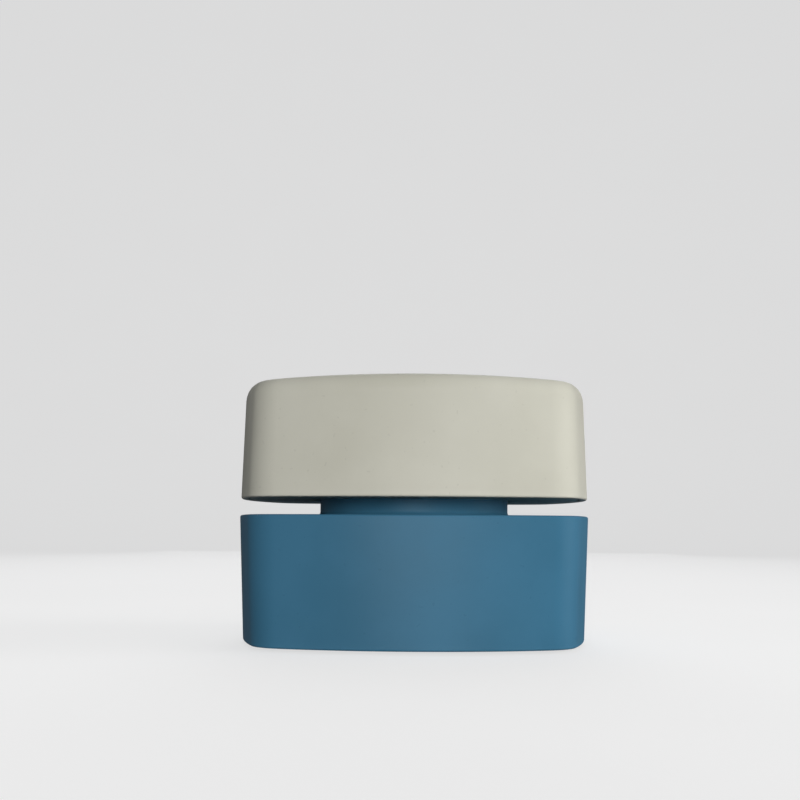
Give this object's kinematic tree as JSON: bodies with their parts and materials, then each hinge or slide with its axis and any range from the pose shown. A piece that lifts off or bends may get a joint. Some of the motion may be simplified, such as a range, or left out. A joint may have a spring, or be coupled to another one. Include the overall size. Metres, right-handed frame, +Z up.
{
  "type": "pill crusher",
  "caption": "Screw-down tablet crusher: a soft-square white cap winds down over the threaded neck of a teal base, and its ribbed post presses on a ribbed well.",
  "frame": {"origin": "middle of the plane that the foot pads stand on", "axes": "+Z up along the screw's axis, -Y towards the front face in the picture, +X to its right"},
  "size_m": [0.07, 0.07, 0.0517],
  "materials": {
    "base_shell": "satin moulded teal-blue plastic",
    "crushing_cup": "satin moulded teal-blue plastic",
    "foot_pads": "matt grey rubber",
    "cap_shell": "satin moulded warm white plastic",
    "cap_core": "satin moulded warm white plastic",
    "crusher_post": "satin moulded warm white plastic",
    "seal_ring": "translucent silicone"
  },
  "bodies": {
    "base": {"base_shell": "base_shell", "crushing_cup": "crushing_cup", "foot_pad_front_left": "foot_pads", "foot_pad_front_right": "foot_pads", "foot_pad_back_left": "foot_pads", "foot_pad_back_right": "foot_pads"},
    "seal": {"seal_ring": "seal_ring"},
    "cap": {"cap_shell": "cap_shell", "cap_core": "cap_core", "crusher_post": "crusher_post"}
  },
  "joints": [
    {"name": "cap_rise", "type": "slide", "parent": "base", "child": "seal", "axis": [0, 0, 1], "range_m": [-0.0028, 0.0224]},
    {"name": "cap_turn", "type": "hinge", "parent": "seal", "child": "cap", "pos_m": [0, 0, 0.03], "axis": [0, 0, 1], "range_deg": [-180, 1440]}
  ],
  "couplings": [
    {"joint": "cap_rise", "follows": "cap_turn", "m_per_rad": 0.00089126}
  ]
}
